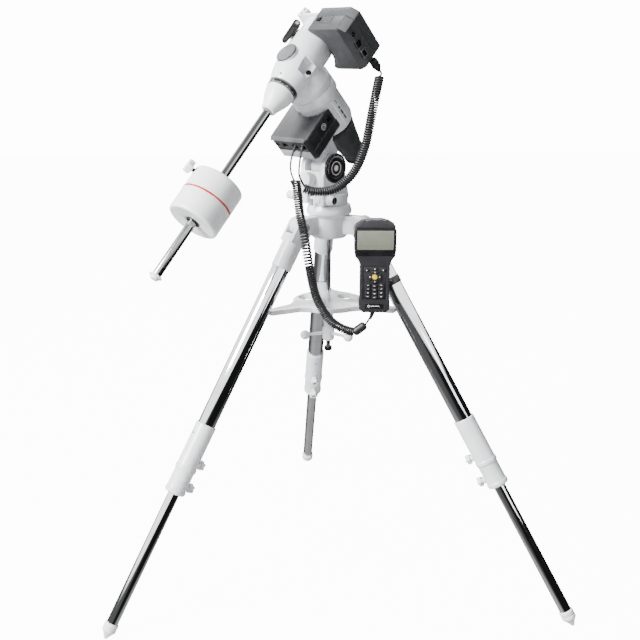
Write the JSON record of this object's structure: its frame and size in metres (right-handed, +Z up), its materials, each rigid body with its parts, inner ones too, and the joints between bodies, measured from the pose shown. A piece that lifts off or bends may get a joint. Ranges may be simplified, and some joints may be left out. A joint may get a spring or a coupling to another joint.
{
  "type": "motorised equatorial telescope mount",
  "caption": "Equatorial telescope mount on a folding tripod: tilting polar head with motor boxes, turning saddle, sliding counterweight, telescopic legs and a corded keypad.",
  "frame": {"origin": "middle of the bounding box's footprint on the floor, measured without the cords", "axes": "+Z up along the tripod's centre rod; the handset faces -Y; the polar axis leans up towards -X -Y"},
  "size_m": [1.1172, 1.0465, 1.4254],
  "materials": {
    "white_casting": "satin white enamel",
    "white_plastic": "smooth white",
    "chrome_tube": "polished",
    "machined_steel": "machined",
    "wheel_brass": "machined",
    "charcoal_plastic": "fine texture, dark grey",
    "grey_plastic": "fine texture, mid grey",
    "black_plastic": "black",
    "handset_plastic": "fine texture, dark grey",
    "key_rubber": "moulded keypad",
    "cord_jacket": "glossy flexible jacket"
  },
  "bodies": {
    "tripod": {"tripod_hub": "white_casting", "centre_rod": "machined_steel", "coil_1": "cord_jacket"},
    "leg_1": {"leg_head_1": "white_casting", "leg_tube_1": "chrome_tube", "leg_collar_1": "white_casting"},
    "lower_leg_1": {"leg_inner_1": "chrome_tube", "foot_1": "white_plastic"},
    "leg_knob_1a": {"leg_knob_1a": "white_plastic"},
    "leg_knob_1b": {"leg_knob_1b": "white_plastic"},
    "leg_2": {"leg_head_2": "white_casting", "leg_tube_2": "chrome_tube", "leg_collar_2": "white_casting", "handset_holder": "black_plastic", "handset_front": "handset_plastic", "handset_back": "handset_plastic", "cable_1": "cord_jacket"},
    "lower_leg_2": {"leg_inner_2": "chrome_tube", "foot_2": "white_plastic"},
    "leg_knob_2a": {"leg_knob_2a": "white_plastic"},
    "leg_knob_2b": {"leg_knob_2b": "white_plastic"},
    "leg_3": {"leg_head_3": "white_casting", "leg_tube_3": "chrome_tube", "leg_collar_3": "white_casting"},
    "lower_leg_3": {"leg_inner_3": "chrome_tube", "foot_3": "white_plastic"},
    "leg_knob_3a": {"leg_knob_3a": "white_plastic"},
    "leg_knob_3b": {"leg_knob_3b": "white_plastic"},
    "spreader": {"spreader_plate": "white_casting"},
    "spreader_nut": {"spreader_handle": "white_plastic"},
    "azimuth_head": {"azimuth_fork": "white_casting"},
    "azimuth_screw_right": {"azimuth_knob_right": "white_plastic"},
    "azimuth_screw_left": {"azimuth_knob_left": "white_plastic"},
    "altitude_head": {"polar_housing": "white_casting", "latitude_dial": "black_plastic", "polar_scope": "charcoal_plastic", "ra_motor_case": "charcoal_plastic", "ra_motor_cover": "grey_plastic", "lead_1": "cord_jacket", "lead_2": "cord_jacket"},
    "altitude_screw_north": {"altitude_bolt_north": "white_plastic"},
    "altitude_screw_south": {"altitude_bolt_south": "white_plastic"},
    "ra_switch": {"ra_power_switch": "black_plastic"},
    "ra_head": {"dec_housing": "white_casting", "ra_shaft": "machined_steel", "ra_worm_wheel": "wheel_brass", "dec_motor_case": "charcoal_plastic", "dec_motor_cover": "charcoal_plastic", "coil_2": "cord_jacket"},
    "dec_switch": {"dec_power_switch": "black_plastic"},
    "dec_clamp": {"dec_clamp_lever": "black_plastic"},
    "dec_head": {"dec_shaft": "machined_steel", "dec_worm_wheel": "wheel_brass", "shaft_cone": "white_plastic", "counterweight_bar": "chrome_tube", "saddle": "white_casting"},
    "counterweight": {"counterweight": "white_plastic"},
    "counterweight_screw": {"counterweight_knob": "white_plastic"},
    "bar_screw": {"bar_end_screw": "white_plastic"},
    "keys": {"handset_keys": "key_rubber"}
  },
  "joints": [
    {"name": "leg_1_fold", "type": "hinge", "parent": "tripod", "child": "leg_1", "pos_m": [-0.10076, -0.16837, 0.92278], "axis": [0.5878, -0.809, 0], "range_deg": [0, 1.75]},
    {"name": "leg_1_extend", "type": "slide", "parent": "leg_1", "child": "lower_leg_1", "axis": [0.4191, 0.3045, 0.8554], "range_m": [-0.05, 0.28]},
    {"name": "leg_knob_1a_turn", "type": "hinge", "parent": "leg_1", "child": "leg_knob_1a", "pos_m": [-0.33858, -0.34116, 0.37948], "axis": [0.692, 0.5028, -0.518], "range_deg": [0, 360]},
    {"name": "leg_knob_1b_turn", "type": "hinge", "parent": "leg_1", "child": "leg_knob_1b", "pos_m": [-0.36372, -0.35943, 0.32816], "axis": [0.692, 0.5028, -0.518], "range_deg": [0, 360]},
    {"name": "leg_2_fold", "type": "hinge", "parent": "tripod", "child": "leg_2", "pos_m": [0.04394, -0.15317, 0.92278], "axis": [0.4067, 0.9135, 0], "range_deg": [0, 1.75], "deforming": ["cable_1"]},
    {"name": "leg_2_extend", "type": "slide", "parent": "leg_2", "child": "lower_leg_2", "axis": [-0.4732, 0.2107, 0.8554], "range_m": [-0.05, 0.28]},
    {"name": "leg_knob_2a_turn", "type": "hinge", "parent": "leg_2", "child": "leg_knob_2a", "pos_m": [0.31249, -0.27273, 0.37948], "axis": [-0.7814, 0.3479, -0.518], "range_deg": [0, 360]},
    {"name": "leg_knob_2b_turn", "type": "hinge", "parent": "leg_2", "child": "leg_knob_2b", "pos_m": [0.34088, -0.28537, 0.32816], "axis": [-0.7814, 0.3479, -0.518], "range_deg": [0, 360]},
    {"name": "leg_3_fold", "type": "hinge", "parent": "tripod", "child": "leg_3", "pos_m": [-0.04158, -0.03546, 0.92278], "axis": [-0.9945, -0.1045, 0], "range_deg": [0, 1.75]},
    {"name": "leg_3_extend", "type": "slide", "parent": "leg_3", "child": "lower_leg_3", "axis": [0.0541, -0.5152, 0.8554], "range_m": [-0.05, 0.28]},
    {"name": "leg_knob_3a_turn", "type": "hinge", "parent": "leg_3", "child": "leg_knob_3a", "pos_m": [-0.07231, 0.25689, 0.37948], "axis": [0.0894, -0.8507, -0.518], "range_deg": [0, 360]},
    {"name": "leg_knob_3b_turn", "type": "hinge", "parent": "leg_3", "child": "leg_knob_3b", "pos_m": [-0.07556, 0.2878, 0.32816], "axis": [0.0894, -0.8507, -0.518], "range_deg": [0, 360]},
    {"name": "spreader_slide", "type": "slide", "parent": "tripod", "child": "spreader", "axis": [0, 0, -1], "range_m": [0, 0.0153]},
    {"name": "spreader_nut_turn", "type": "hinge", "parent": "spreader", "child": "spreader_nut", "pos_m": [-0.0328, -0.119, 0.645], "axis": [0, 0, 1], "range_deg": [0, 720]},
    {"name": "azimuth_turn", "type": "hinge", "parent": "tripod", "child": "azimuth_head", "pos_m": [-0.0328, -0.119, 0.9703], "axis": [0, 0, 1], "range_deg": [-7, 7], "deforming": ["coil_1"]},
    {"name": "azimuth_screw_right_drive", "type": "slide", "parent": "azimuth_head", "child": "azimuth_screw_right", "axis": [0.7361, -0.6769, 0], "range_m": [-0.0061, 0.0061]},
    {"name": "azimuth_screw_left_drive", "type": "slide", "parent": "azimuth_head", "child": "azimuth_screw_left", "axis": [0.7361, -0.6769, 0], "range_m": [-0.0061, 0.0061]},
    {"name": "altitude_tilt", "type": "hinge", "parent": "azimuth_head", "child": "altitude_head", "pos_m": [-0.04837, -0.13593, 1.0611], "axis": [0.7361, -0.6769, 0], "range_deg": [-16, 8], "deforming": ["lead_1", "lead_2"]},
    {"name": "altitude_screw_north_drive", "type": "slide", "parent": "azimuth_head", "child": "altitude_screw_north", "axis": [0.6769, 0.7361, 0], "range_m": [-0.0067, 0.0034]},
    {"name": "altitude_screw_south_drive", "type": "slide", "parent": "azimuth_head", "child": "altitude_screw_south", "axis": [0.6769, 0.7361, 0], "range_m": [-0.0067, 0.0034]},
    {"name": "ra_switch_rock", "type": "hinge", "parent": "altitude_head", "child": "ra_switch", "pos_m": [-0.03523, -0.18812, 1.17661], "axis": [-0.4702, -0.5113, 0.7193], "range_deg": [-6, 6]},
    {"name": "right_ascension", "type": "hinge", "parent": "altitude_head", "child": "ra_head", "pos_m": [-0.10722, -0.19993, 1.29076], "axis": [-0.4702, -0.5113, 0.7193], "range_deg": [-90, 90], "deforming": ["coil_2"]},
    {"name": "dec_switch_rock", "type": "hinge", "parent": "ra_head", "child": "dec_switch", "pos_m": [-0.05799, -0.23503, 1.3953], "axis": [0.4869, 0.5295, 0.6947], "range_deg": [-6, 6]},
    {"name": "dec_clamp_swing", "type": "hinge", "parent": "ra_head", "child": "dec_clamp", "pos_m": [-0.11457, -0.16063, 1.38113], "axis": [-0.3543, 0.8467, -0.397], "range_deg": [0, 45]},
    {"name": "declination", "type": "hinge", "parent": "ra_head", "child": "dec_head", "pos_m": [-0.10722, -0.19993, 1.29076], "axis": [0.4869, 0.5295, 0.6947], "continuous": true},
    {"name": "counterweight_slide", "type": "slide", "parent": "dec_head", "child": "counterweight", "axis": [0.4869, 0.5295, 0.6947], "range_m": [-0.13, 0.19]},
    {"name": "counterweight_screw_turn", "type": "hinge", "parent": "counterweight", "child": "counterweight_screw", "pos_m": [-0.32925, -0.39187, 1.09462], "axis": [-0.7653, -0.1248, 0.6315], "range_deg": [0, 360]},
    {"name": "bar_screw_turn", "type": "hinge", "parent": "dec_head", "child": "bar_screw", "pos_m": [-0.39205, -0.50969, 0.88439], "axis": [-0.4869, -0.5295, -0.6947], "range_deg": [0, 720]},
    {"name": "keys_press", "type": "slide", "parent": "leg_2", "child": "keys", "axis": [0, 1, 0], "range_m": [0, 0.001], "stiffness_N_per_m": 400}
  ],
  "couplings": [
    {"joint": "leg_2_fold", "follows": "leg_1_fold", "ratio": 1},
    {"joint": "leg_3_fold", "follows": "leg_1_fold", "ratio": 1},
    {"joint": "spreader_slide", "follows": "leg_1_fold", "m_per_rad": 0.5},
    {"joint": "azimuth_screw_right_drive", "follows": "azimuth_turn", "m_per_rad": -0.0495},
    {"joint": "azimuth_screw_left_drive", "follows": "azimuth_turn", "m_per_rad": -0.0495},
    {"joint": "altitude_screw_north_drive", "follows": "altitude_tilt", "m_per_rad": 0.0238},
    {"joint": "altitude_screw_south_drive", "follows": "altitude_tilt", "m_per_rad": 0.0238}
  ]
}
